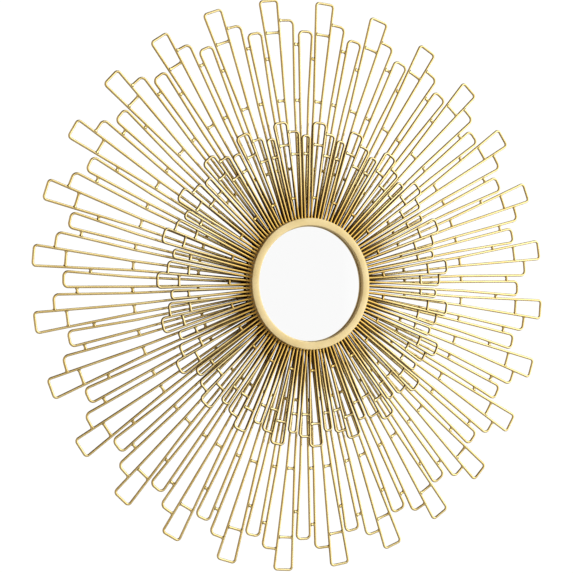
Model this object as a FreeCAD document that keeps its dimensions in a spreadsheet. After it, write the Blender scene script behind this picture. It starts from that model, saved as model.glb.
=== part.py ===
import FreeCAD
import Part
import Sketcher
import math
import os
from dataclasses import dataclass

# Sunburst wall mirror: a small round mirror in a deep satin ring, with two layers of bent
# wire rays brazed round it.
#
# Frame: millimetres, +Z up, the mirror faces -Y. The origin is the centre of the rear
# board's back face, so the wall is the plane y = 0 and everything stands off it towards -Y.
# "Depth" below always means the distance from the wall, so a depth of d is y = -d.
#
# Both ray layers repeat one module of five legs, clockwise as seen from the front: a wide
# loop (two legs), a shoulder wire (one leg, its top wire springs from the wide loop) and a
# narrow loop (two legs). Short bars are brazed across the legs.

SHEET_ROWS = [
    # wire stock and joints
    ("wire_d", 3.6),                # ray wire diameter
    ("braze_gap", 0.06),            # room left for braze where a wire butts on another
    ("seat_gap", 0.02),             # flat faces that lie on one another
    ("hole_gap", 0.05),             # radial room of a screw in its hole
    # depth stack, from the wall outwards
    ("rear_board_thick", 9.5),
    ("hub_plate_thick", 2.0),
    ("layer_step", 12.0),           # outer layer's plane to inner layer's plane
    ("carrier_thick", 15.0),
    ("tape_thick", 1.0),
    ("glass_thick", 3.0),
    ("bezel_depth", 21.5),
    # discs
    ("bezel_lap", 7.33),            # how far the ring reaches outwards over the outer roots
    ("bezel_band", 11.0),           # width of the flat front band
    ("bezel_wall", 1.2),
    ("bezel_lip", 1.3),             # rounding of the front band's edge towards the glass
    ("bezel_edge", 0.6),            # and of its outer edge
    ("glass_play", 0.3),
    ("glass_bevel", 0.6),
    ("hub_plate_lip", 1.0),         # hub plate beyond the ring
    ("hub_bore_radius", 30.0),
    ("rear_board_inset", 5.0),      # rear board short of the hub plate's edge
    ("tape_length", 70.0),
    ("tape_width", 12.0),
    ("tape_spacing", 40.0),
    # outer layer of rays: radii from the centre, angles clockwise from the module's axis
    ("outer_count", 28),
    ("outer_first", 4.8),
    ("outer_root_gap", 0.2),        # between neighbouring legs where they are closest
    ("outer_bend", 259.0),
    ("outer_wide_top", 400.0),
    ("outer_shoulder_drop", 28.0),  # tops, measured down from the wide loop's top
    ("outer_narrow_drop", 42.5),
    ("outer_wide_bend_turn", 1.37),
    ("outer_wide_top_turn", 1.97),
    ("outer_shoulder_bend_turn", 4.7),
    ("outer_shoulder_top_turn", 5.3),
    ("outer_narrow_bend_near", 6.6),
    ("outer_narrow_top_near", 6.72),
    ("outer_narrow_bend_far", 9.5),
    ("outer_narrow_top_far", 10.1),
    ("outer_wide_corner", 4.5),
    ("outer_shoulder_corner", 7.0),
    ("outer_narrow_corner", 6.5),
    ("outer_leg_corner", 60.0),     # gentle set in each leg at the middle bars
    ("outer_wide_bar_drop", 45.0),
    ("outer_tie_drop", 62.0),
    ("outer_link_drop", 81.0),
    ("outer_low_bar", 163.0),
    # inner layer of rays: straight legs from the bezel's wall
    ("inner_count", 23),
    ("inner_first", 4.5),
    ("inner_wide_top", 228.4),
    ("inner_shoulder_drop", 14.0),
    ("inner_narrow_drop", 19.6),
    ("inner_wide_top_turn", 2.55),
    ("inner_shoulder_top_turn", 7.1),
    ("inner_narrow_top_near", 8.7),
    ("inner_narrow_top_far", 11.8),
    ("inner_wide_corner", 5.5),
    ("inner_shoulder_corner", 5.0),
    ("inner_narrow_corner", 4.2),
    ("inner_wide_bar_drop", 32.0),
    ("inner_tie_drop", 45.6),
    ("inner_low_bar_rise", 29.6),   # above the bezel's wall
    # screws that hold the rear board, the hub plate and the carrier together
    ("board_screw_count", 4),
    ("board_screw_inset", 13.0),    # their circle, inside the ring's bore
    ("board_screw_radius", 2.0),
    ("board_screw_head_radius", 3.6),
    ("board_screw_head_high", 2.4),
    ("board_screw_sink", 3.2),
    ("board_screw_bite", 6.7),      # into the carrier board
    ("pilot_spare", 1.0),           # pilot hole beyond the screw's point
    # strap hangers with D-rings, let into pockets in the rear board
    ("hanger_offset", 45.0),
    ("hanger_rise", 18.0),
    ("pocket_width", 28.0),
    ("pocket_below", 46.0),
    ("pocket_above", 22.0),
    ("pocket_depth", 6.0),
    ("pocket_corner", 6.0),
    ("strap_width", 12.0),
    ("strap_length", 42.0),
    ("strap_thick", 1.2),
    ("strap_corner", 3.0),
    ("strap_screw_first", 24.0),
    ("strap_screw_pitch", 12.0),
    ("strap_screw_radius", 1.5),
    ("strap_screw_head_radius", 2.9),
    ("strap_screw_head_high", 1.7),
    ("strap_screw_short", 0.52),    # point short of the hub plate's front face
    ("ring_wire_d", 2.4),
    ("ring_play", 0.06),            # radial room of the D-ring's bar in the rolled eye
    ("ring_bar", 15.0),
    ("ring_corner", 2.5),
    ("eye_open_turn", 285.0),       # how far the strap is rolled round the bar
]

LEGS_PER_MODULE = 5
MODULES_PER_OUTER_NODE = 2
SCREW_CROWN = 0.72      # flat top of a pan head, as a share of the head's radius
SCREW_SHOULDER = 0.45   # straight side of a pan head, as a share of its height
SCREW_POINT = 0.4       # blunt tip, as a share of the shank's radius
SAME_PLACE = 1e-3       # millimetres within which two places count as one

doc = FreeCAD.newDocument("sunburst_wall_mirror")
sheet = doc.addObject("Spreadsheet::Sheet", "dims")
for row, (alias, value) in enumerate(SHEET_ROWS, start=1):
    sheet.set(f"A{row}", alias)
    sheet.set(f"B{row}", str(value))
    sheet.setAlias(f"B{row}", alias)
doc.recompute()


def number(expression):
    """Value that an expression on the sheet has now, in millimetres or degrees."""
    return float(sheet.evalExpression(expression))


def vector(x, y, z=0.0):
    """Short form of FreeCAD.Vector."""
    return FreeCAD.Vector(x, y, z)


# Radii and depths that several pieces share.
OUTER_ROOT = (f"({LEGS_PER_MODULE} * dims.outer_count * (dims.wire_d + dims.outer_root_gap)"
              " / (2 * pi))")
BEZEL_RADIUS = f"({OUTER_ROOT} + dims.bezel_lap)"
BEZEL_BORE = f"({BEZEL_RADIUS} - dims.bezel_band)"
HUB_PLATE_RADIUS = f"({BEZEL_RADIUS} + dims.hub_plate_lip)"
HUB_PLATE_BACK = "dims.rear_board_thick"
OUTER_BACK = f"({HUB_PLATE_BACK} + dims.hub_plate_thick)"
OUTER_PLANE = f"({OUTER_BACK} + dims.wire_d / 2)"
OUTER_FRONT = f"({OUTER_BACK} + dims.wire_d + dims.seat_gap)"
INNER_PLANE = f"({OUTER_PLANE} + dims.layer_step)"
TAPE_BACK = f"({OUTER_BACK} + dims.carrier_thick)"
GLASS_BACK = f"({TAPE_BACK} + dims.tape_thick)"
BOARD_SCREW_TIP = f"({OUTER_BACK} + dims.board_screw_bite)"
STRAP_SCREW_SEAT = "(dims.pocket_depth - dims.strap_thick - dims.seat_gap)"


# ---------------------------------------------------------------------------------------
# Small building blocks
# ---------------------------------------------------------------------------------------

def new_body(label, depth="0", side="0", rise="0"):
    """PartDesign body whose origin lies at a depth, a sideways offset and a height."""
    body = doc.addObject("PartDesign::Body", label)
    body.Label = label
    body.setExpression("Placement.Base.x", side)
    body.setExpression("Placement.Base.y", f"-({depth})")
    body.setExpression("Placement.Base.z", rise)
    return body


def new_sketch(body, name, role):
    """Sketch on one of the body's own origin planes."""
    sketch = body.newObject("Sketcher::SketchObject", name)
    plane = next(item for item in body.Origin.OriginFeatures if item.Role == role)
    sketch.AttachmentSupport = [(plane, "")]
    sketch.MapMode = "FlatFace"
    return sketch


def hold(sketch, expression, kind, *where):
    """Add a dimension constraint that follows an expression."""
    value = math.radians(number(expression)) if kind == "Angle" else number(expression)
    index = sketch.addConstraint(Sketcher.Constraint(kind, *where, value))
    sketch.setExpression(f"Constraints[{index}]", expression)


def hold_point(sketch, geometry, end, x, y):
    """Place one end of a sketch element by two expressions."""
    hold(sketch, x, "DistanceX", -1, 1, geometry, end)
    hold(sketch, y, "DistanceY", -1, 1, geometry, end)


def add_circle(sketch, radius, x="0", y="0"):
    """Circle with its centre and radius held."""
    centre = vector(number(x), number(y))
    circle = sketch.addGeometry(Part.Circle(centre, vector(0, 0, 1), number(radius)))
    if x == "0" and y == "0":
        sketch.addConstraint(Sketcher.Constraint("Coincident", circle, 3, -1, 1))
    else:
        hold_point(sketch, circle, 3, x, y)
    hold(sketch, radius, "Radius", circle)


def add_polygon(sketch, corners):
    """Closed outline through corners given as pairs of expressions."""
    points = [vector(number(x), number(y)) for x, y in corners]
    lines = []
    for start, end in zip(points, points[1:] + points[:1]):
        lines.append(sketch.addGeometry(Part.LineSegment(start, end)))
    for line, following in zip(lines, lines[1:] + lines[:1]):
        sketch.addConstraint(Sketcher.Constraint("Coincident", line, 2, following, 1))
    for line, (x, y) in zip(lines, corners):
        hold_point(sketch, line, 1, x, y)


def pad(body, sketch, length, both_ways=False):
    """Pad towards the viewer, or equally to both sides of the sketch."""
    feature = body.newObject("PartDesign::Pad", "pad")
    feature.Profile = sketch
    feature.SideType = "Symmetric" if both_ways else "One side"
    feature.setExpression("Length", length)
    return feature


def cut_from_back(body, sketch, depth=None):
    """Pocket that starts on the body's back plane and runs towards the viewer."""
    before = body_volume(body)
    feature = body.newObject("PartDesign::Pocket", "pocket")
    feature.Profile = sketch
    feature.Reversed = True
    if depth is None:
        feature.Type = "ThroughAll"
    else:
        feature.setExpression("Length", depth)
    require(body_volume(body) < before, f"{body.Label}: the pocket cuts nothing")
    return feature


def body_volume(body):
    """Volume of a body after a recompute."""
    doc.recompute()
    return body.Shape.Volume


def require(condition, message):
    """Stop the build with a message."""
    if not condition:
        raise RuntimeError(message)


def revolve(body, sketch, axis_role="Y_Axis"):
    """Full turn about one of the body's own origin axes."""
    feature = body.newObject("PartDesign::Revolution", "turned")
    feature.Profile = sketch
    axis = next(item for item in body.Origin.OriginFeatures if item.Role == axis_role)
    feature.ReferenceAxis = (axis, [""])
    feature.Angle = 360
    return feature


def compound(label, members, turn=None, shift=None):
    """Group of solids under one label, turned about Y (clockwise from the front) or moved."""
    group = doc.addObject("Part::Compound", label)
    group.Label = label
    group.Links = members
    if turn is not None:
        group.Placement = FreeCAD.Placement(vector(0, 0), FreeCAD.Rotation(vector(0, 1), 0))
        group.setExpression("Placement.Rotation.Angle", turn)
    for axis, expression in (shift or {}).items():
        group.setExpression(f"Placement.Base.{axis}", expression)
    return group


# ---------------------------------------------------------------------------------------
# Bent wires
# ---------------------------------------------------------------------------------------

def polar(radius, turn):
    """Point at a radius and an angle clockwise from straight up, as two expressions."""
    return f"({radius}) * sin({turn})", f"({radius}) * cos({turn})"


def between(start, end, share):
    """Point part of the way from one point to another, as two expressions."""
    return tuple(f"({a} + ({share}) * ({b} - {a}))" for a, b in zip(start, end))


def draw_wire_path(sketch, points, corners, gaps):
    """Lines through the points with a tangent arc at each inner one.

    Args:
        sketch: sketch that receives the path.
        points: pairs of expressions.
        corners: expression for the bend radius at each inner point.
        gaps: for the first and the last point, an expression for how far short of it the
            wire stops, or None where the wire reaches it.
    """
    apex = [vector(number(x), number(y)) for x, y in points]
    starts, ends, arcs = [apex[0]], [], []
    for index, corner in enumerate(corners, start=1):
        here = apex[index]
        back = (apex[index - 1] - here).normalize()
        ahead = (apex[index + 1] - here).normalize()
        half = back.getAngle(ahead) / 2
        reach = number(corner) / math.tan(half)
        centre = here + (back + ahead).normalize() * (number(corner) / math.sin(half))
        ends.append(here + back * reach)
        starts.append(here + ahead * reach)
        left_turn = back.cross(ahead).z < 0
        arcs.append((centre, number(corner), ends[-1], starts[-1], left_turn))
    ends.append(apex[-1])
    if gaps[0]:
        starts[0] = apex[0] + (ends[0] - apex[0]).normalize() * number(gaps[0])
    if gaps[1]:
        ends[-1] = apex[-1] + (starts[-1] - apex[-1]).normalize() * number(gaps[1])

    lines = []
    joints = []
    for index, (start, end) in enumerate(zip(starts, ends)):
        lines.append(sketch.addGeometry(Part.LineSegment(start, end)))
        if index < len(arcs):
            joints.append(sketch.addGeometry(arc_between(*arcs[index])))
    for index, (joint, corner) in enumerate(zip(joints, corners)):
        first, last = (1, 2) if arcs[index][-1] else (2, 1)
        sketch.addConstraint(Sketcher.Constraint("Tangent", lines[index], 2, joint, first))
        sketch.addConstraint(Sketcher.Constraint("Tangent", joint, last, lines[index + 1], 1))
        hold(sketch, corner, "Radius", joint)
        hold_mark(sketch, points[index + 1], apex[index + 1], (lines[index], lines[index + 1]))
    for gap, line, end, point, place in ((gaps[0], lines[0], 1, points[0], apex[0]),
                                         (gaps[1], lines[-1], 2, points[-1], apex[-1])):
        if gap:
            mark = hold_mark(sketch, point, place, (line,))
            hold(sketch, gap, "Distance", mark, 1, line, end)
        else:
            hold_point(sketch, line, end, *point)


def arc_between(centre, radius, start, end, left_turn):
    """Arc from start to end, drawn anticlockwise whichever way the path turns."""
    if not left_turn:
        start, end = end, start
    begin = math.atan2(start.y - centre.y, start.x - centre.x)
    finish = math.atan2(end.y - centre.y, end.x - centre.x)
    if finish < begin:
        finish += 2 * math.pi
    circle = Part.Circle(centre, vector(0, 0, 1), radius)
    return Part.ArcOfCircle(circle, begin, finish)


def hold_mark(sketch, point, place, lines):
    """Construction point that the given lines, or their extensions, run through."""
    mark = sketch.addGeometry(Part.Point(place), True)
    for line in lines:
        sketch.addConstraint(Sketcher.Constraint("PointOnObject", mark, 1, line))
    hold_point(sketch, mark, 1, *point)
    return mark


def bent_wire(label, depth, points, corners=(), gaps=(None, None)):
    """Round wire swept along a path that lies in a plane parallel to the wall."""
    body = new_body(label, depth)
    path = new_sketch(body, f"{label}_path", "XZ_Plane")
    draw_wire_path(path, points, corners, gaps)
    doc.recompute()
    section = body.newObject("Sketcher::SketchObject", f"{label}_section")
    section.AttachmentSupport = [(path, "Edge1")]
    section.MapMode = "NormalToEdge"
    section.MapPathParameter = 0.0
    add_circle(section, "dims.wire_d / 2")
    sweep = body.newObject("PartDesign::AdditivePipe", f"{label}_wire")
    sweep.Profile = section
    sweep.Spine = path
    return body


@dataclass
class Leg:
    """One leg of a ray: radii and angles of its root, its bend if it has one, and its top."""
    radii: list
    turns: list

    def stations(self):
        """Root to top as pairs of expressions."""
        return [polar(radius, turn) for radius, turn in zip(self.radii, self.turns)]

    def at(self, radius):
        """Point where the leg passes a radius."""
        last = len(self.radii) - 1
        upper = next((n for n in range(1, last) if number(self.radii[n]) >= number(radius)), last)
        low, high = self.radii[upper - 1], self.radii[upper]
        share = f"(({radius}) - ({low})) / (({high}) - ({low}))"
        points = self.stations()
        return between(points[upper - 1], points[upper], share)

    def moved(self, turn):
        """The same leg in the next module."""
        return Leg(self.radii, [f"({own} + {turn})" for own in self.turns])


@dataclass
class Layer:
    """One layer of rays."""
    name: str
    depth: str
    count: str
    first: str
    root: str
    bend: str
    leg_corner: str
    bars: list

    def size(self, name):
        """Expression for one of this layer's own cells."""
        return f"dims.{self.name}_{name}"

    def top(self, ray):
        """Radius of a ray's top wire."""
        if ray == "wide":
            return self.size("wide_top")
        return f"({self.size('wide_top')} - {self.size(ray + '_drop')})"

    def leg(self, slot, ray, turn_names, sign=1):
        """Leg whose root stands in one of the evenly spaced slots round the hub."""
        step = f"360 / ({LEGS_PER_MODULE} * {self.count})"
        turns = [f"({slot} * {step})"]
        turns += [f"({sign} * {self.size(name)})" for name in turn_names]
        radii = [self.root, self.top(ray)]
        if self.bend:
            radii.insert(1, self.bend)
        return Leg(radii, turns)

    def legs(self):
        """The module's five legs by name, and the next module's first one."""
        def names(kind, side):
            stations = ("bend", "top") if self.bend else ("top",)
            return [f"{kind}_{station}_{side}" for station in stations]
        legs = {
            "wide_left": self.leg(-0.5, "wide", names("wide", "turn"), sign=-1),
            "wide_right": self.leg(0.5, "wide", names("wide", "turn")),
            "shoulder": self.leg(1.5, "shoulder", names("shoulder", "turn")),
            "narrow_left": self.leg(2.5, "narrow", names("narrow", "near")),
            "narrow_right": self.leg(3.5, "narrow", names("narrow", "far")),
        }
        legs["next_wide_left"] = legs["wide_left"].moved(f"360 / {self.count}")
        return legs

    def module(self):
        """All wires of one module, as bodies in the layer's plane."""
        legs = self.legs()
        butt = "(dims.wire_d / 2 + dims.braze_gap)"
        bends = [self.leg_corner] if self.bend else []
        wires = []
        for ray in ("wide", "narrow"):
            corner = self.size(f"{ray}_corner")
            rise = legs[f"{ray}_left"].stations()
            fall = list(reversed(legs[f"{ray}_right"].stations()))
            corners = bends + [corner, corner] + bends
            wires.append(bent_wire(f"{self.name}_{ray}_loop", self.depth, rise + fall, corners))
        spring = legs["wide_right"].at(self.top("shoulder"))
        fall = list(reversed(legs["shoulder"].stations()))
        wires.append(bent_wire(f"{self.name}_shoulder_wire", self.depth, [spring] + fall,
                               [self.size("shoulder_corner")] + bends, (butt, None)))
        for number_of_bar, (left, right, radius) in enumerate(self.bars, start=1):
            ends = [legs[left].at(radius), legs[right].at(radius)]
            wires.append(bent_wire(f"{self.name}_bar_{number_of_bar}", self.depth, ends,
                                   gaps=(butt, butt)))
        return wires


def build_outer_layer():
    """Fourteen welded panels of two modules each."""
    wide_bar = "(dims.outer_wide_top - dims.outer_wide_bar_drop)"
    tie = "(dims.outer_wide_top - dims.outer_tie_drop)"
    link = "(dims.outer_wide_top - dims.outer_link_drop)"
    layer = Layer("outer", OUTER_PLANE, "dims.outer_count", "dims.outer_first", OUTER_ROOT,
                  "dims.outer_bend", "dims.outer_leg_corner", [
                      ("wide_left", "wide_right", wide_bar),
                      ("wide_left", "wide_right", "dims.outer_bend"),
                      ("wide_left", "wide_right", "dims.outer_low_bar"),
                      ("shoulder", "narrow_left", tie),
                      ("shoulder", "narrow_left", "dims.outer_bend"),
                      ("shoulder", "narrow_left", "dims.outer_low_bar"),
                      ("narrow_right", "next_wide_left", link),
                  ])
    wires = layer.module()
    modules = [compound(f"outer_module_{step}", wires, turn=f"{step} * 360 / {layer.count}")
               for step in range(MODULES_PER_OUTER_NODE)]
    nodes = []
    for index in range(int(number(layer.count)) // MODULES_PER_OUTER_NODE):
        turn = f"{layer.first} + {index * MODULES_PER_OUTER_NODE} * 360 / {layer.count}"
        nodes.append(compound(f"outer_rays_{index + 1:02d}", modules, turn=turn))
    return nodes


def build_inner_layer():
    """Twenty-three single modules whose legs butt on the bezel's wall."""
    wide_bar = "(dims.inner_wide_top - dims.inner_wide_bar_drop)"
    tie = "(dims.inner_wide_top - dims.inner_tie_drop)"
    low_bar = f"({BEZEL_RADIUS} + dims.inner_low_bar_rise)"
    root = f"({BEZEL_RADIUS} + 2 * dims.braze_gap)"
    layer = Layer("inner", INNER_PLANE, "dims.inner_count", "dims.inner_first", root, "", "", [
        ("wide_left", "wide_right", wide_bar),
        ("wide_left", "wide_right", low_bar),
        ("wide_right", "shoulder", tie),
        ("narrow_left", "narrow_right", tie),
    ])
    wires = layer.module()
    nodes = []
    for index in range(int(number(layer.count))):
        turn = f"{layer.first} + {index} * 360 / {layer.count}"
        nodes.append(compound(f"inner_rays_{index + 1:02d}", wires, turn=turn))
    return nodes


# ---------------------------------------------------------------------------------------
# Mirror, its ring and the boards
# ---------------------------------------------------------------------------------------

def build_bezel_ring():
    """Channel rolled into a ring: two walls joined by the flat front band, open behind."""
    body = new_body("bezel_ring", OUTER_FRONT)
    profile = new_sketch(body, "bezel_profile", "YZ_Plane")
    outer, inner = BEZEL_RADIUS, BEZEL_BORE
    web = "-(dims.bezel_depth - dims.bezel_wall)"
    add_polygon(profile, [
        ("0", outer), ("-dims.bezel_depth", outer), ("-dims.bezel_depth", inner), ("0", inner),
        ("0", f"{inner} + dims.bezel_wall"), (web, f"{inner} + dims.bezel_wall"),
        (web, f"{outer} - dims.bezel_wall"), ("0", f"{outer} - dims.bezel_wall"),
    ])
    revolve(body, profile)
    round_front_rim(body, inner, "dims.bezel_lip")
    round_front_rim(body, outer, "dims.bezel_edge")
    return body


def round_front_rim(body, radius, rounding):
    """Round the ring's front edge that runs at one radius."""
    doc.recompute()
    base = body.Tip
    front, width = number("-dims.bezel_depth"), 2 * number(radius)
    rims = []
    for index, edge in enumerate(base.Shape.Edges, start=1):
        box = edge.BoundBox
        on_front = abs(box.YMin - front) < SAME_PLACE and box.YLength < SAME_PLACE
        if on_front and abs(box.XLength - width) < SAME_PLACE:
            rims.append(f"Edge{index}")
    require(len(rims) > 0, f"no front rim at {radius}")
    fillet = body.newObject("PartDesign::Fillet", "rounding")
    fillet.Base = (base, rims)
    fillet.setExpression("Radius", rounding)


def build_disc(label, depth, radius, thickness):
    """Plain disc; returns the body and its outline sketch."""
    body = new_body(label, depth)
    outline = new_sketch(body, f"{label}_outline", "XZ_Plane")
    add_circle(outline, radius)
    pad(body, outline, thickness)
    return body, outline


def build_mirror_glass():
    """Silvered glass with both rims ground to a fine chamfer."""
    radius = f"({BEZEL_BORE} - dims.glass_play)"
    body, _ = build_disc("mirror_glass", GLASS_BACK, radius, "dims.glass_thick")
    doc.recompute()
    disc = body.Tip
    full_width = 2 * number(radius) - SAME_PLACE
    rims = [f"Edge{index}" for index, edge in enumerate(disc.Shape.Edges, start=1)
            if edge.BoundBox.XLength > full_width and edge.BoundBox.YLength < SAME_PLACE]
    ground = body.newObject("PartDesign::Chamfer", "ground_rims")
    ground.Base = (disc, rims)
    ground.setExpression("Size", "dims.glass_bevel")
    return body


def board_screw_places():
    """Centres of the board screws, evenly round their circle."""
    count = int(number("dims.board_screw_count"))
    circle = f"{BEZEL_BORE} - dims.board_screw_inset"
    return [polar(circle, f"{step} * 360 / dims.board_screw_count") for step in range(count)]


def strap_screw_places():
    """Centres of the four strap screws, two below each eye."""
    places = []
    for side in (-1, 1):
        for step in (0, 1):
            drop = f"(dims.strap_screw_first + {step} * dims.strap_screw_pitch)"
            places.append((f"{side} * dims.hanger_offset", f"dims.hanger_rise - {drop}"))
    return places


def add_holes(sketch, places, radius):
    """One clearance hole at each place."""
    for x, z in places:
        add_circle(sketch, f"{radius} + dims.hole_gap", x, z)


def build_carrier_board():
    """Board on the hub plate that carries the glass; the board screws end in it."""
    radius = f"({BEZEL_BORE} - dims.glass_play)"
    body, _ = build_disc("carrier_board", OUTER_BACK, radius, "dims.carrier_thick")
    doc.recompute()
    pilots = new_sketch(body, "pilot_holes", "XZ_Plane")
    add_holes(pilots, board_screw_places(), "dims.board_screw_radius")
    cut_from_back(body, pilots, "dims.board_screw_bite + dims.pilot_spare")
    return body


def build_hub_plate():
    """Steel ring plate that the outer rays lie on and are brazed to."""
    body = new_body("hub_plate", HUB_PLATE_BACK)
    outline = new_sketch(body, "hub_plate_outline", "XZ_Plane")
    add_circle(outline, HUB_PLATE_RADIUS)
    add_circle(outline, "dims.hub_bore_radius")
    add_holes(outline, board_screw_places(), "dims.board_screw_radius")
    add_holes(outline, strap_screw_places(), "dims.strap_screw_radius")
    pad(body, outline, "dims.hub_plate_thick")
    return body


def add_rounded_box(sketch, left, right, low, high, corner):
    """Rectangle with rounded corners, bound on all four sides."""
    x0, x1, z0, z1, r = (number(item) for item in (left, right, low, high, corner))
    spots = [(x1 - r, z1 - r, 0), (x0 + r, z1 - r, 90),
             (x0 + r, z0 + r, 180), (x1 - r, z0 + r, 270)]
    arcs = []
    for x, z, start in spots:
        circle = Part.Circle(vector(x, z), vector(0, 0, 1), r)
        begin = math.radians(start)
        arcs.append(sketch.addGeometry(Part.ArcOfCircle(circle, begin, begin + math.pi / 2)))
    sides = []
    for arc, following in zip(arcs, arcs[1:] + arcs[:1]):
        ends = sketch.Geometry[arc].EndPoint, sketch.Geometry[following].StartPoint
        side = sketch.addGeometry(Part.LineSegment(*ends))
        sketch.addConstraint(Sketcher.Constraint("Tangent", arc, 2, side, 1))
        sketch.addConstraint(Sketcher.Constraint("Tangent", side, 2, following, 1))
        sides.append(side)
    for arc in arcs[1:]:
        sketch.addConstraint(Sketcher.Constraint("Equal", arcs[0], arc))
    hold(sketch, corner, "Radius", arcs[0])
    top, left_side, bottom, right_side = sides
    for side, kind, position, direction in ((top, "DistanceY", high, "Horizontal"),
                                            (left_side, "DistanceX", left, "Vertical"),
                                            (bottom, "DistanceY", low, "Horizontal"),
                                            (right_side, "DistanceX", right, "Vertical")):
        sketch.addConstraint(Sketcher.Constraint(direction, side))
        hold(sketch, position, kind, -1, 1, side, 1)


def build_rear_board():
    """Fibreboard disc against the wall, with a pocket for each hanger."""
    body, outline = build_disc("rear_board", "0", f"{HUB_PLATE_RADIUS} - dims.rear_board_inset",
                               "dims.rear_board_thick")
    add_holes(outline, board_screw_places(), "dims.board_screw_radius")
    add_holes(outline, strap_screw_places(), "dims.strap_screw_radius")
    doc.recompute()
    for side in (-1, 1):
        pocket = new_sketch(body, "hanger_pocket", "XZ_Plane")
        middle = f"{side} * dims.hanger_offset"
        add_rounded_box(pocket, f"{middle} - dims.pocket_width / 2",
                        f"{middle} + dims.pocket_width / 2",
                        "dims.hanger_rise - dims.pocket_below",
                        "dims.hanger_rise + dims.pocket_above", "dims.pocket_corner")
        cut_from_back(body, pocket, "dims.pocket_depth")
    sinks = new_sketch(body, "screw_sinks", "XZ_Plane")
    for x, z in board_screw_places():
        add_circle(sinks, "dims.board_screw_head_radius + 2 * dims.hole_gap", x, z)
    cut_from_back(body, sinks, "dims.board_screw_sink")
    return body


def build_glass_tape():
    """Two strips of foam tape between the carrier board and the glass."""
    strips = []
    for side in (-1, 1):
        strip = doc.addObject("Part::Box", "tape_strip")
        strip.setExpression("Length", "dims.tape_width")
        strip.setExpression("Width", "dims.tape_thick")
        strip.setExpression("Height", "dims.tape_length")
        strip.setExpression("Placement.Base.x", f"{side} * dims.tape_spacing - dims.tape_width / 2")
        strip.setExpression("Placement.Base.y", f"-{GLASS_BACK}")
        strip.setExpression("Placement.Base.z", "-dims.tape_length / 2")
        strips.append(strip)
    return compound("glass_tape", strips)


# ---------------------------------------------------------------------------------------
# Screws and hangers
# ---------------------------------------------------------------------------------------

def build_screw(label, under_head, radius, head_radius, head_high, length):
    """Pan-head screw along Y: the head is on the wall side of its bearing face."""
    body = new_body(label, under_head)
    profile = new_sketch(body, f"{label}_profile", "YZ_Plane")
    crown = f"{head_radius} * {SCREW_CROWN}"
    point = f"{radius} * {SCREW_POINT}"
    add_polygon(profile, [
        (head_high, "0"), (head_high, crown), (f"{head_high} * {SCREW_SHOULDER}", head_radius),
        ("0", head_radius), ("0", radius), (f"-({length} - {radius})", radius),
        (f"-{length}", point), (f"-{length}", "0"),
    ])
    revolve(body, profile)
    return body


def build_screw_group(label, screw, places):
    """Copies of one screw at several places, under one label."""
    copies = [compound(f"{label}_{index}", [screw], shift={"x": x, "z": z})
              for index, (x, z) in enumerate(places, start=1)]
    return compound(label, copies)


def build_board_screws():
    """Screws through the rear board and the hub plate into the carrier board."""
    screw = build_screw("board_screw", "dims.board_screw_sink", "dims.board_screw_radius",
                        "dims.board_screw_head_radius", "dims.board_screw_head_high",
                        f"({BOARD_SCREW_TIP} - dims.board_screw_sink)")
    return build_screw_group("board_screws", screw, board_screw_places())


def build_strap_screws():
    """Screws through the straps and the pocket floors into the hub plate."""
    length = f"({OUTER_BACK} - dims.strap_screw_short - {STRAP_SCREW_SEAT})"
    screw = build_screw("strap_screw", STRAP_SCREW_SEAT, "dims.strap_screw_radius",
                        "dims.strap_screw_head_radius", "dims.strap_screw_head_high", length)
    return build_screw_group("strap_screws", screw, strap_screw_places())


EYE_BORE = "(dims.ring_wire_d / 2 + dims.ring_play)"
EYE_RIM = f"({EYE_BORE} + dims.strap_thick)"
EYE_DEPTH = f"(dims.pocket_depth - dims.seat_gap - {EYE_RIM})"


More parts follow.
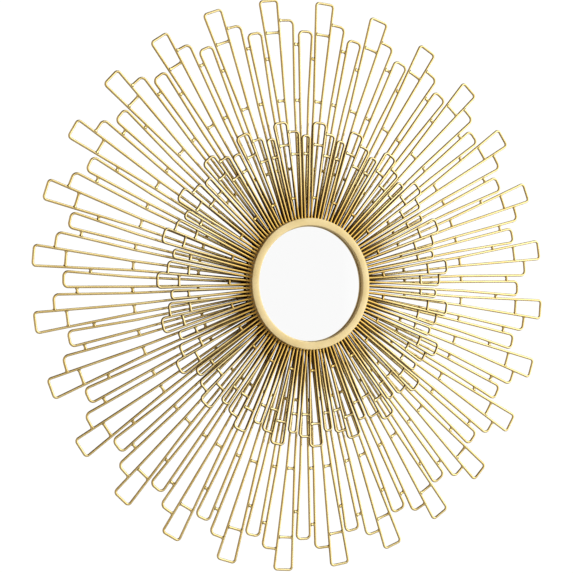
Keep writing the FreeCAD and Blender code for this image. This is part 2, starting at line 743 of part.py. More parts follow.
def build_hanger_strap(label, side):
    """Strap on the pocket's floor, rolled at its top into an eye round the D-ring's bar."""
    body = new_body(label, EYE_DEPTH, f"{side} * dims.hanger_offset", "dims.hanger_rise")
    profile = new_sketch(body, f"{label}_profile", "YZ_Plane")
    bore, rim = number(EYE_BORE), number(EYE_RIM)
    length = number("dims.strap_length")
    opening = math.radians(180 - number("dims.eye_open_turn"))
    centre, up = vector(0, 0), vector(0, 0, 1)
    outer = profile.addGeometry(Part.ArcOfCircle(Part.Circle(centre, up, rim), opening, math.pi))
    inner = profile.addGeometry(Part.ArcOfCircle(Part.Circle(centre, up, bore), opening, math.pi))
    direction = vector(math.cos(opening), math.sin(opening))
    lip = profile.addGeometry(Part.LineSegment(direction * bore, direction * rim))
    back = profile.addGeometry(Part.LineSegment(vector(-rim, 0), vector(-rim, -length)))
    foot = profile.addGeometry(Part.LineSegment(vector(-rim, -length), vector(-bore, -length)))
    face = profile.addGeometry(Part.LineSegment(vector(-bore, -length), vector(-bore, 0)))
    for arc in (outer, inner):
        profile.addConstraint(Sketcher.Constraint("Coincident", arc, 3, -1, 1))
    profile.addConstraint(Sketcher.Constraint("Coincident", lip, 1, inner, 1))
    profile.addConstraint(Sketcher.Constraint("Coincident", lip, 2, outer, 1))
    profile.addConstraint(Sketcher.Constraint("Tangent", outer, 2, back, 1))
    profile.addConstraint(Sketcher.Constraint("Coincident", back, 2, foot, 1))
    profile.addConstraint(Sketcher.Constraint("Coincident", foot, 2, face, 1))
    profile.addConstraint(Sketcher.Constraint("Tangent", face, 2, inner, 2))
    profile.addConstraint(Sketcher.Constraint("Vertical", back))
    profile.addConstraint(Sketcher.Constraint("Horizontal", foot))
    profile.addConstraint(Sketcher.Constraint("PointOnObject", -1, 1, lip))
    hold(profile, EYE_BORE, "Radius", inner)
    hold(profile, "dims.strap_thick", "Distance", foot)
    hold(profile, "dims.strap_length", "Distance", back)
    hold(profile, "dims.eye_open_turn - 180", "Angle", lip, 2, -1, 2)
    pad(body, profile, "dims.strap_width", both_ways=True)
    doc.recompute()
    holes = new_sketch(body, f"{label}_holes", "XZ_Plane")
    for step in (0, 1):
        drop = f"-(dims.strap_screw_first + {step} * dims.strap_screw_pitch)"
        add_circle(holes, "dims.strap_screw_radius + dims.hole_gap", "0", drop)
    cut_from_back(body, holes)
    doc.recompute()
    base = body.Tip
    corners = [f"Edge{index}" for index, edge in enumerate(base.Shape.Edges, start=1)
               if edge.BoundBox.ZMax < SAME_PLACE - length and edge.BoundBox.XLength < SAME_PLACE]
    rounding = body.newObject("PartDesign::Fillet", "rounding")
    rounding.Base = (base, corners)
    rounding.setExpression("Radius", "dims.strap_corner")
    return body


def build_d_ring(label, side):
    """D-shaped wire ring; its straight bar turns in the strap's eye, the bow hangs down."""
    body = new_body(label, EYE_DEPTH, f"{side} * dims.hanger_offset", "dims.hanger_rise")
    path = new_sketch(body, f"{label}_path", "XZ_Plane")
    half, corner = number("dims.ring_bar / 2"), number("dims.ring_corner")
    reach = half + corner
    up = vector(0, 0, 1)
    bar = path.addGeometry(Part.LineSegment(vector(-half, 0), vector(half, 0)))
    right = path.addGeometry(Part.ArcOfCircle(
        Part.Circle(vector(half, -corner), up, corner), 0, math.pi / 2))
    bow = path.addGeometry(Part.ArcOfCircle(
        Part.Circle(vector(0, -corner), up, reach), math.pi, 2 * math.pi))
    left = path.addGeometry(Part.ArcOfCircle(
        Part.Circle(vector(-half, -corner), up, corner), math.pi / 2, math.pi))
    path.addConstraint(Sketcher.Constraint("Tangent", bar, 2, right, 2))
    path.addConstraint(Sketcher.Constraint("Tangent", right, 1, bow, 2))
    path.addConstraint(Sketcher.Constraint("Tangent", bow, 1, left, 2))
    path.addConstraint(Sketcher.Constraint("Tangent", left, 1, bar, 1))
    path.addConstraint(Sketcher.Constraint("Equal", left, right))
    path.addConstraint(Sketcher.Constraint("Horizontal", bar))
    hold(path, "dims.ring_corner", "Radius", right)
    hold_point(path, bar, 1, "-dims.ring_bar / 2", "0")
    hold(path, "dims.ring_bar", "Distance", bar)
    path.addConstraint(Sketcher.Constraint("Horizontal", bow, 3, right, 3))
    doc.recompute()
    section = body.newObject("Sketcher::SketchObject", f"{label}_section")
    section.AttachmentSupport = [(path, "Edge1")]
    section.MapMode = "NormalToEdge"
    section.MapPathParameter = 0.0
    add_circle(section, "dims.ring_wire_d / 2")
    sweep = body.newObject("PartDesign::AdditivePipe", f"{label}_wire")
    sweep.Profile = section
    sweep.Spine = path
    return body


# ---------------------------------------------------------------------------------------
# Assembly, checks and export
# ---------------------------------------------------------------------------------------

def build_all():
    """Every node of the mirror, front pieces first."""
    nodes = [build_bezel_ring(), build_mirror_glass(), build_glass_tape(), build_carrier_board()]
    nodes += build_inner_layer()
    nodes += build_outer_layer()
    nodes += [build_hub_plate(), build_rear_board(), build_board_screws(), build_strap_screws()]
    for side, name in ((-1, "left"), (1, "right")):
        nodes.append(build_hanger_strap(f"hanger_strap_{name}", side))
        nodes.append(build_d_ring(f"d_ring_{name}", side))
    return nodes


def check_document(nodes):
    """Refuse a document with a failed feature or a node without a sound solid."""
    for item in doc.Objects:
        failed = [state for state in item.State if state in ("Invalid", "Error")]
        require(not failed, f"{item.Label} is {item.State}")
    for node in nodes:
        shape = node.Shape
        require(not shape.isNull() and shape.isValid(), f"{node.Label} has no valid shape")
        require(len(shape.Solids) > 0 and shape.Volume > 0, f"{node.Label} holds no solid")


def write_parts(nodes):
    """One STEP file for each node."""
    os.makedirs("parts", exist_ok=True)
    for node in nodes:
        node.Shape.exportStep(os.path.join("parts", f"{node.Label}.step"))
        print(f"{node.Label}: {len(node.Shape.Solids)} solids, {node.Shape.Volume:.0f} mm3")


mirror_nodes = build_all()
doc.recompute()
check_document(mirror_nodes)
write_parts(mirror_nodes)
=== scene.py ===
"""Sunburst wall mirror: finishes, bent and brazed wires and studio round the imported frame.

Everything is in metres in the frame's own axes: +Z up, the wall is the plane y = 0 and the mirror
faces -Y. Angles round the mirror are degrees clockwise from straight up, as seen from the front.
"""

import logging
import math
import random
from collections.abc import Iterable, Sequence
from dataclasses import dataclass, field
from enum import Enum

import bmesh
import bpy
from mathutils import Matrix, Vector


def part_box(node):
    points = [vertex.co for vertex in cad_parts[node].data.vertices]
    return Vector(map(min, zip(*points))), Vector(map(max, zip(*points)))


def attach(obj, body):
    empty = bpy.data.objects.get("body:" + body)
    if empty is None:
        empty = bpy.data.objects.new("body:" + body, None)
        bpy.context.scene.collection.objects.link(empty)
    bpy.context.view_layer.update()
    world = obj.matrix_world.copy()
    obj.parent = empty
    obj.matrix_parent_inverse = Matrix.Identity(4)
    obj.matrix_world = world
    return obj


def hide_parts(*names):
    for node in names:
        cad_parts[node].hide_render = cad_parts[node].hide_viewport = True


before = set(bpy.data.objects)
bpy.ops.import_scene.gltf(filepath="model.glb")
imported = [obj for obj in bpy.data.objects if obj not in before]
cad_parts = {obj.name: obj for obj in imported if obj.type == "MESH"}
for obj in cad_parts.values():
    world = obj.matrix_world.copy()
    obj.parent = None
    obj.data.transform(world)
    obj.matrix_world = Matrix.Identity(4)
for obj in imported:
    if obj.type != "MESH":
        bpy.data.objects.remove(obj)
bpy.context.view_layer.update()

log = logging.getLogger("sunburst_mirror")

MM = 0.001
FRAME_BODY = "mirror_frame"


class Side(Enum):
    """The two hangers, as seen from the front."""

    LEFT = "left"
    RIGHT = "right"


# ---------------------------------------------------------------------------------------
# Colours and material nodes
# ---------------------------------------------------------------------------------------

def hex_to_linear(code: str) -> tuple[float, float, float, float]:
    """Turn an sRGB hex colour into linear red, green, blue and alpha.

    Args:
        code: six hex digits, with or without a leading '#'.

    Returns:
        The linear colour, with an alpha of 1.
    """
    digits = code.lstrip("#")
    srgb = [int(digits[i:i + 2], 16) / 255 for i in (0, 2, 4)]
    linear = [c / 12.92 if c <= 0.04045 else ((c + 0.055) / 1.055) ** 2.4 for c in srgb]
    return (linear[0], linear[1], linear[2], 1.0)


def add_node(tree: bpy.types.NodeTree, kind: str, inputs: dict | None = None,
             **settings: object) -> bpy.types.Node:
    """Add one node with its settings, values and links.

    Args:
        tree: node tree that gets the node.
        kind: Blender's node type name.
        inputs: input names or indices, each with a constant or with a socket to link.
        settings: attributes set on the node itself.

    Returns:
        The new node.
    """
    node = tree.nodes.new(kind)
    for name, value in settings.items():
        setattr(node, name, value)
    for key, value in (inputs or {}).items():
        if isinstance(value, bpy.types.NodeSocket):
            tree.links.new(value, node.inputs[key])
        else:
            node.inputs[key].default_value = value
    return node


def set_ramp(node: bpy.types.Node, stops: Sequence[tuple[float, tuple]]) -> bpy.types.Node:
    """Give a colour ramp its stops.

    Args:
        node: the colour ramp.
        stops: positions from 0 to 1, each with a linear colour.

    Returns:
        The same node.
    """
    elements = node.color_ramp.elements
    while len(elements) < len(stops):
        elements.new(0.5)
    for element, (position, colour) in zip(elements, stops):
        element.position = position
        element.color = colour
    return node


def per_metre(size_mm: float) -> float:
    """Noise or wave scale for a pattern whose grain is this many millimetres."""
    return 1.0 / (size_mm * MM)


def new_material(name: str) -> tuple[bpy.types.Material, bpy.types.NodeTree]:
    """Empty node material and its tree."""
    material = bpy.data.materials.new(name)
    material.use_nodes = True
    material.node_tree.nodes.clear()
    return material, material.node_tree


def finish_surface(tree: bpy.types.NodeTree, inputs: dict) -> None:
    """End a material in a Principled shader with these inputs."""
    shader = add_node(tree, "ShaderNodeBsdfPrincipled", inputs)
    add_node(tree, "ShaderNodeOutputMaterial", {"Surface": shader.outputs["BSDF"]})


@dataclass(frozen=True)
class GoldLacquer:
    """Gold lacquer sprayed from the front and the back, rubbed to a satin.

    The eye gets a warm metal with soft highlights and faint blotches the size of a fingertip.
    Painted shade makes it browner on the flanks of a wire and among the crowded roots near the
    ring. A fine dust grain in the lacquer breaks up the shine.
    """

    name: str
    pale: str
    deep: str
    roughness: float
    cloud_mm: float
    grain_mm: float
    grain_high_mm: float
    root_shade_brown: str = "FFFFFF"      # painted shade that multiplies the gold among the roots
    root_shade_full_radius: float = 0.0
    root_shade_clear_radius: float = 1.0
    flank_shade_brown: str = "FFFFFF"     # and painted shade on the flanks of a wire
    flank_shade_starts: float = 0.72      # cosine of the turn from the front or back where the painted shade starts
    flank_shade_full: float = 0.1         # and where it is darkest
    deep_below: float = 0.35        # cloud noise at which the gold is deepest
    pale_above: float = 0.65        # and palest
    shinier: float = 0.05           # how far the roughness falls in the deep clouds
    duller: float = 0.06            # and rises in the pale ones
    grain_strength: float = 0.5

    def build(self) -> bpy.types.Material:
        """Make the material."""
        material, tree = new_material(self.name)
        place = add_node(tree, "ShaderNodeTexCoord").outputs["Object"]
        cloud = add_node(tree, "ShaderNodeTexNoise", {
            "Vector": place, "Scale": per_metre(self.cloud_mm), "Detail": 3.0, "Roughness": 0.55})
        tint = set_ramp(add_node(tree, "ShaderNodeValToRGB", {"Fac": cloud.outputs["Fac"]}),
                        [(self.deep_below, hex_to_linear(self.deep)),
                         (self.pale_above, hex_to_linear(self.pale))])
        # Painted shade: the crowded roots of the rays, close to the ring, are multiplied by a brown
        # where the wires shade one another.
        flat = add_node(tree, "ShaderNodeVectorMath", {0: place, 1: (1.0, 0.0, 1.0)},
                        operation="MULTIPLY")
        radius = add_node(tree, "ShaderNodeVectorMath", {0: flat.outputs["Vector"]},
                          operation="LENGTH")
        root_shade_amount = add_node(tree, "ShaderNodeMapRange", {
            "Value": radius.outputs["Value"], "From Min": self.root_shade_clear_radius,
            "From Max": self.root_shade_full_radius}, interpolation_type="SMOOTHSTEP")
        root_shaded = self.add_painted_shade(tree, tint.outputs["Color"], root_shade_amount, self.root_shade_brown)
        # Painted shade: a wire's flanks, turned away from the front and the back, are multiplied by
        # a brown.
        normal = add_node(tree, "ShaderNodeSeparateXYZ", {
            "Vector": add_node(tree, "ShaderNodeTexCoord").outputs["Normal"]})
        facing = add_node(tree, "ShaderNodeMath", {0: normal.outputs["Y"]}, operation="ABSOLUTE")
        flank_shade_amount = add_node(tree, "ShaderNodeMapRange", {
            "Value": facing.outputs["Value"], "From Min": self.flank_shade_starts,
            "From Max": self.flank_shade_full}, interpolation_type="SMOOTHSTEP")
        colour = self.add_painted_shade(tree, root_shaded, flank_shade_amount, self.flank_shade_brown)
        grain = add_node(tree, "ShaderNodeTexNoise", {
            "Vector": place, "Scale": per_metre(self.grain_mm), "Detail": 2.0, "Roughness": 0.6})
        gloss = add_node(tree, "ShaderNodeMapRange", {
            "Value": cloud.outputs["Fac"], "From Min": 0.3, "From Max": 0.7,
            "To Min": self.roughness - self.shinier, "To Max": self.roughness + self.duller})
        bump = add_node(tree, "ShaderNodeBump", {
            "Height": grain.outputs["Fac"], "Strength": self.grain_strength,
            "Distance": self.grain_high_mm * MM})
        finish_surface(tree, {
            "Base Color": colour, "Metallic": 1.0,
            "Roughness": gloss.outputs["Result"], "Normal": bump.outputs["Normal"]})
        return material

    def add_painted_shade(self, tree: bpy.types.NodeTree, gold: bpy.types.NodeSocket,
                amount: bpy.types.Node, brown: str) -> bpy.types.NodeSocket:
        """Multiply the gold by a brown: painted shade.

        Args:
            tree: the material's node tree.
            gold: colour so far.
            amount: map range node that says where, from 0 to 1.
            brown: hex colour that the gold is multiplied by.

        Returns:
            The new colour.
        """
        mix = add_node(tree, "ShaderNodeMix", {0: amount.outputs["Result"]}, data_type="RGBA",
                       blend_type="MULTIPLY")
        first, second = (socket for socket in mix.inputs
                         if socket.type == "RGBA" and socket.enabled)
        tree.links.new(gold, first)
        second.default_value = hex_to_linear(brown)
        return next(socket for socket in mix.outputs if socket.type == "RGBA" and socket.enabled)


@dataclass(frozen=True)
class SilveredGlass:
    """Float glass silvered on its back: a clean, neutral reflection."""

    name: str = "silvered_float_glass"
    tint: str = "F8F8F8"
    roughness: float = 0.012
    roll_mm: float = 60.0
    roll_high_mm: float = 0.05
    roll_strength: float = 0.1

    def build(self) -> bpy.types.Material:
        """Make the material."""
        material, tree = new_material(self.name)
        place = add_node(tree, "ShaderNodeTexCoord").outputs["Object"]
        # Float glass has a slow roll that bends straight reflections by a hair.
        roll = add_node(tree, "ShaderNodeTexNoise", {
            "Vector": place, "Scale": per_metre(self.roll_mm), "Detail": 0.0})
        bump = add_node(tree, "ShaderNodeBump", {
            "Height": roll.outputs["Fac"], "Strength": self.roll_strength,
            "Distance": self.roll_high_mm * MM})
        finish_surface(tree, {
            "Base Color": hex_to_linear(self.tint), "Metallic": 1.0,
            "Roughness": self.roughness, "Normal": bump.outputs["Normal"]})
        return material


@dataclass(frozen=True)
class ZincPlate:
    """Bright zinc plate on pressed steel: cool grey with faint blue and straw passivation."""

    name: str = "bright_zinc_plate"
    cool: str = "B9C0C6"
    straw: str = "C9C3AE"
    roughness: float = 0.3
    film_mm: float = 6.0            # size of the passivation's colour patches
    rub_mm: float = 0.5             # size of the marks that handling leaves in the shine
    shinier: float = 0.08
    duller: float = 0.12

    def build(self) -> bpy.types.Material:
        """Make the material."""
        material, tree = new_material(self.name)
        place = add_node(tree, "ShaderNodeTexCoord").outputs["Object"]
        film = add_node(tree, "ShaderNodeTexNoise", {
            "Vector": place, "Scale": per_metre(self.film_mm), "Detail": 2.0})
        colour = set_ramp(add_node(tree, "ShaderNodeValToRGB", {"Fac": film.outputs["Fac"]}),
                          [(0.38, hex_to_linear(self.cool)), (0.62, hex_to_linear(self.straw))])
        rub = add_node(tree, "ShaderNodeTexNoise", {
            "Vector": place, "Scale": per_metre(self.rub_mm), "Detail": 2.0})
        gloss = add_node(tree, "ShaderNodeMapRange", {
            "Value": rub.outputs["Fac"], "To Min": self.roughness - self.shinier,
            "To Max": self.roughness + self.duller})
        finish_surface(tree, {
            "Base Color": colour.outputs["Color"], "Metallic": 1.0,
            "Roughness": gloss.outputs["Result"]})
        return material


@dataclass(frozen=True)
class Fibreboard:
    """Stained medium-density fibreboard: matt dark brown with pale and dark fibre flecks."""

    name: str = "stained_fibreboard"
    ground: str = "3A2C20"
    fleck: str = "5A4632"
    fleck_mm: float = 0.9
    fleck_high_mm: float = 0.08
    stain_mm: float = 25.0
    stain_uneven: float = 0.15      # how much lighter and darker the stain lies in patches
    roughness: float = 0.82

    def build(self) -> bpy.types.Material:
        """Make the material."""
        material, tree = new_material(self.name)
        place = add_node(tree, "ShaderNodeTexCoord").outputs["Object"]
        fibre = add_node(tree, "ShaderNodeTexNoise", {
            "Vector": place, "Scale": per_metre(self.fleck_mm), "Detail": 5.0, "Roughness": 0.7})
        stain = add_node(tree, "ShaderNodeTexNoise", {
            "Vector": place, "Scale": per_metre(self.stain_mm), "Detail": 2.0})
        flecks = set_ramp(add_node(tree, "ShaderNodeValToRGB", {"Fac": fibre.outputs["Fac"]}),
                          [(0.42, hex_to_linear(self.ground)), (0.72, hex_to_linear(self.fleck))])
        cloudy = add_node(tree, "ShaderNodeMapRange", {
            "Value": stain.outputs["Fac"], "To Min": 1 - self.stain_uneven,
            "To Max": 1 + self.stain_uneven})
        colour = add_node(tree, "ShaderNodeHueSaturation", {
            "Color": flecks.outputs["Color"], "Value": cloudy.outputs["Result"]})
        bump = add_node(tree, "ShaderNodeBump", {
            "Height": fibre.outputs["Fac"], "Strength": 0.4,
            "Distance": self.fleck_high_mm * MM})
        finish_surface(tree, {
            "Base Color": colour.outputs["Color"], "Roughness": self.roughness,
            "Normal": bump.outputs["Normal"]})
        return material


@dataclass(frozen=True)
class FoamTape:
    """Closed-cell foam mounting tape: off-white, soft, finely pitted."""

    name: str = "foam_mounting_tape"
    ground: str = "D9D7CF"
    cell_mm: float = 0.4
    pit_deep_mm: float = 0.1
    roughness: float = 0.9

    def build(self) -> bpy.types.Material:
        """Make the material."""
        material, tree = new_material(self.name)
        place = add_node(tree, "ShaderNodeTexCoord").outputs["Object"]
        cells = add_node(tree, "ShaderNodeTexVoronoi", {
            "Vector": place, "Scale": per_metre(self.cell_mm)})
        bump = add_node(tree, "ShaderNodeBump", {
            "Height": cells.outputs["Distance"], "Strength": 0.5,
            "Distance": self.pit_deep_mm * MM})
        finish_surface(tree, {
            "Base Color": hex_to_linear(self.ground), "Roughness": self.roughness,
            "Normal": bump.outputs["Normal"]})
        return material


@dataclass(frozen=True)
class PaleFloor:
    """Matt pale studio floor with a barely visible mottle."""

    name: str = "pale_studio_floor"
    ground: str = "F1F0EE"
    mottle_mm: float = 40.0
    roughness: tuple[float, float] = (0.7, 0.8)

    def build(self) -> bpy.types.Material:
        """Make the material."""
        material, tree = new_material(self.name)
        place = add_node(tree, "ShaderNodeTexCoord").outputs["Object"]
        mottle = add_node(tree, "ShaderNodeTexNoise", {
            "Vector": place, "Scale": per_metre(self.mottle_mm), "Detail": 2.0})
        gloss = add_node(tree, "ShaderNodeMapRange", {
            "Value": mottle.outputs["Fac"], "To Min": self.roughness[0],
            "To Max": self.roughness[1]})
        finish_surface(tree, {
            "Base Color": hex_to_linear(self.ground), "Roughness": gloss.outputs["Result"]})
        return material


# Both wire finishes carry painted shade, browner among the roots near the ring and on the flanks of
# each wire; the inner wires' flanks are painted much darker.
RAY_GOLD = GoldLacquer("satin_gold_lacquer_on_wire", pale="F0DEA0", deep="E4CD88", roughness=0.18,
                       cloud_mm=45.0, grain_mm=0.7, grain_high_mm=0.03, root_shade_brown="6A5232",
                       root_shade_full_radius=0.095, root_shade_clear_radius=0.17, flank_shade_brown="7E6224",
                       flank_shade_starts=0.8, flank_shade_full=0.2)
INNER_RAY_GOLD = GoldLacquer("satin_gold_lacquer_on_inner_wire", pale="F5E3A9", deep="E9D291",
                             roughness=0.18, cloud_mm=35.0, grain_mm=0.7, grain_high_mm=0.03,
                             root_shade_brown="E6CE96", root_shade_full_radius=0.095, root_shade_clear_radius=0.17,
                             flank_shade_brown="321A06", flank_shade_starts=0.92, flank_shade_full=0.64)
RING_GOLD = GoldLacquer("fine_grained_satin_gold", pale="DECDA0", deep="D2BE8B", roughness=0.42,
                        cloud_mm=30.0, grain_mm=0.55, grain_high_mm=0.08)


# ---------------------------------------------------------------------------------------
# Mesh building
# ---------------------------------------------------------------------------------------

@dataclass
class MeshDraft:
    """Vertices and faces gathered for one mesh."""

    points: list[Vector] = field(default_factory=list)
    faces: list[tuple[int, ...]] = field(default_factory=list)

    def add_rings(self, rings: Sequence[Sequence[Vector]], closed: bool = False,
                  capped: bool = True) -> None:
        """Skin a row of rings that have the same number of points.

        Args:
            rings: the rings in order.
            closed: whether the last ring joins the first one.
            capped: whether the two open ends get a face each.
        """
        start = len(self.points)
        around = len(rings[0])
        for ring in rings:
            self.points.extend(ring)
        spans = len(rings) if closed else len(rings) - 1
        for row in range(spans):
            low = start + row * around
            high = start + ((row + 1) % len(rings)) * around
            for i in range(around):
                j = (i + 1) % around
                self.faces.append((low + i, low + j, high + j, high + i))
        if capped and not closed:
            last = start + (len(rings) - 1) * around
            self.faces.append(tuple(reversed(range(start, start + around))))
            self.faces.append(tuple(range(last, last + around)))

    def add_tube(self, path: Sequence[Vector], radius: float, sides: int,
                 closed: bool = False) -> None:
        """Sweep a circle along a path that never runs along Y.

        Args:
            path: centreline points.
            radius: the wire's radius.
            sides: points round the wire.
            closed: whether the path ends where it starts.
        """
        rings = []
        count = len(path)
        for index, here in enumerate(path):
            before = path[index - 1] if index or closed else here
            after = path[(index + 1) % count] if index < count - 1 or closed else here
            along = (after - before).normalized()
            out = (Vector((0, 1, 0)) - along * along.y).normalized()
            across = along.cross(out)
            rings.append([here + (out * math.cos(a) + across * math.sin(a)) * radius
                          for a in turns(sides)])
        self.add_rings(rings, closed)

    def add_collar(self, root: Vector, along: Vector, profile: Sequence[tuple[float, float]],
                   sides: int, stretch: float = 1.0) -> None:
        """Lathe a braze collar round a wire's end.

        Args:
            root: point on the axis of the thing that the wire meets.
            along: direction of the wire away from it.
            profile: distance from the root and radius, pairs in order.
            sides: points round the collar.
            stretch: how much longer the collar is across Y at its root than at its tip.
        """
        direction = along.normalized()
        out = (Vector((0, 1, 0)) - direction * direction.y).normalized()
        across = direction.cross(out)
        rings = []
        for index, (distance, radius) in enumerate(profile):
            share = 1 - index / (len(profile) - 1)
            wide = radius * (1 + (stretch - 1) * share)
            centre = root + direction * distance
            rings.append([centre + out * math.cos(a) * radius + across * math.sin(a) * wide
                          for a in turns(sides)])
        self.add_rings(rings)

    def add_lathe(self, profile: Sequence[tuple[float, float]], segments: int,
                  closed: bool = True, axis: tuple[float, float] = (0.0, 0.0)) -> None:
        """Turn a profile about an axis that runs along Y.

        Args:
            profile: radius and y, pairs in order.
            segments: steps round the axis.
            closed: whether the profile is a closed outline; an open one starts and ends on
                the axis.
            axis: x and z of the axis.
        """
        rings = []
        for angle in turns(segments):
            rings.append([Vector((axis[0] + r * math.sin(angle), y, axis[1] + r * math.cos(angle)))
                          for r, y in profile])
        start = len(self.points)
        count = len(profile)
        for ring in rings:
            self.points.extend(ring)
        rows = count if closed else count - 1
        for step in range(segments):
            low = start + step * count
            high = start + ((step + 1) % segments) * count
            for i in range(rows):
                j = (i + 1) % count
                self.faces.append((low + i, high + i, high + j, low + j))

    def build(self, name: str, sharp: float = 50.0) -> bpy.types.Object:
        """Make the object.

        Args:
            name: the object's name.
            sharp: edges bent by more than this many degrees are drawn sharp.

        Returns:
            The new object, linked to the scene.
        """
        mesh = bpy.data.meshes.new(name)
        mesh.from_pydata(self.points, [], self.faces)
        mesh.polygons.foreach_set("use_smooth", [True] * len(mesh.polygons))
        mesh.validate()
        mesh.set_sharp_from_angle(angle=math.radians(sharp))
        piece = bpy.data.objects.new(name, mesh)
        bpy.context.scene.collection.objects.link(piece)
        return piece


def turns(count: int) -> list[float]:
    """Evenly spaced angles of one full turn, in radians."""
    return [2 * math.pi * step / count for step in range(count)]


def polar(radius: float, degrees: float, depth: float) -> Vector:
    """Point at a radius and an angle clockwise from straight up, a depth off the wall."""
    angle = math.radians(degrees)
    return Vector((radius * math.sin(angle), -depth, radius * math.cos(angle)))


def rounded_path(points: Sequence[Vector], radii: Sequence[float], step: float,
                 arc_step: float = 15.0) -> list[Vector]:
    """Polyline with a sampled arc at each inner point.

    Args:
        points: corners of the path.
        radii: bend radius at each inner corner.
        step: longest distance between samples on a straight run.
        arc_step: degrees between samples on an arc.

    Returns:
        Centreline points.
    """
    anchors: list[list[Vector]] = [[points[0]]]
    for here, before, after, radius in zip(points[1:-1], points, points[2:], radii):
        back = (before - here).normalized()
        ahead = (after - here).normalized()
        half = back.angle(ahead) / 2
        reach = radius / math.tan(half)
        centre = here + (back + ahead).normalized() * (radius / math.sin(half))
        start, end = here + back * reach - centre, here + ahead * reach - centre
        sweep = start.angle(end)
        count = max(1, math.ceil(math.degrees(sweep) / arc_step))
        anchors.append([centre + (start * math.sin((1 - t) * sweep) + end * math.sin(t * sweep))
                        / math.sin(sweep) for t in (i / count for i in range(count + 1))])
    anchors.append([points[-1]])
    path: list[Vector] = []
    for group, following in zip(anchors, anchors[1:]):
        path.extend(group)
        run = following[0] - group[-1]
        pieces = max(1, math.ceil(run.length / step))
        path.extend(group[-1] + run * (i / pieces) for i in range(1, pieces))
    path.extend(anchors[-1])
    return path


def dress(piece: bpy.types.Object, material: bpy.types.Material) -> None:
    """Give an object one material for all its slots."""
    if not piece.data.materials:
        piece.data.materials.append(material)
    for index in range(len(piece.data.materials)):
        piece.data.materials[index] = material
    for slot in piece.material_slots:
        slot.material = material


def place_piece(piece: bpy.types.Object, material: bpy.types.Material,
                nodes: Iterable[str], body: str = FRAME_BODY) -> bpy.types.Object:
    """Dress a piece, ride it on its body and say which frame nodes it stands for."""
    dress(piece, material)
    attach(piece, body)
    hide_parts(*nodes)
    log.info("%s: %d faces for %s", piece.name, len(piece.data.polygons), ", ".join(nodes))
    return piece


# ---------------------------------------------------------------------------------------
# Rays
# ---------------------------------------------------------------------------------------

@dataclass(frozen=True)
class LegPlan:
    """Angles of one leg from its root slot to its top, degrees clockwise of the module's axis."""

    slot: float
    turns: tuple[float, ...]


@dataclass(frozen=True)
class BarPlan:
    """A short bar between two legs at one radius; far is in the next module where it says so."""

    near: str
    far: str
    radius: float
    next_module: bool = False


@dataclass
class Bent:
    """One leg as it really came out: its points from root to top."""

    points: list[Vector]

    def at(self, radius: float) -> Vector:
        """Point where the leg passes a radius."""
        for low, high in zip(self.points, self.points[1:]):
            near, far = flat_radius(low), flat_radius(high)
            if radius <= far or high is self.points[-1]:
                return low.lerp(high, (radius - near) / (far - near))
        return self.points[-1]


def flat_radius(point: Vector) -> float:
    """Distance from the mirror's axis."""
    return math.hypot(point.x, point.z)


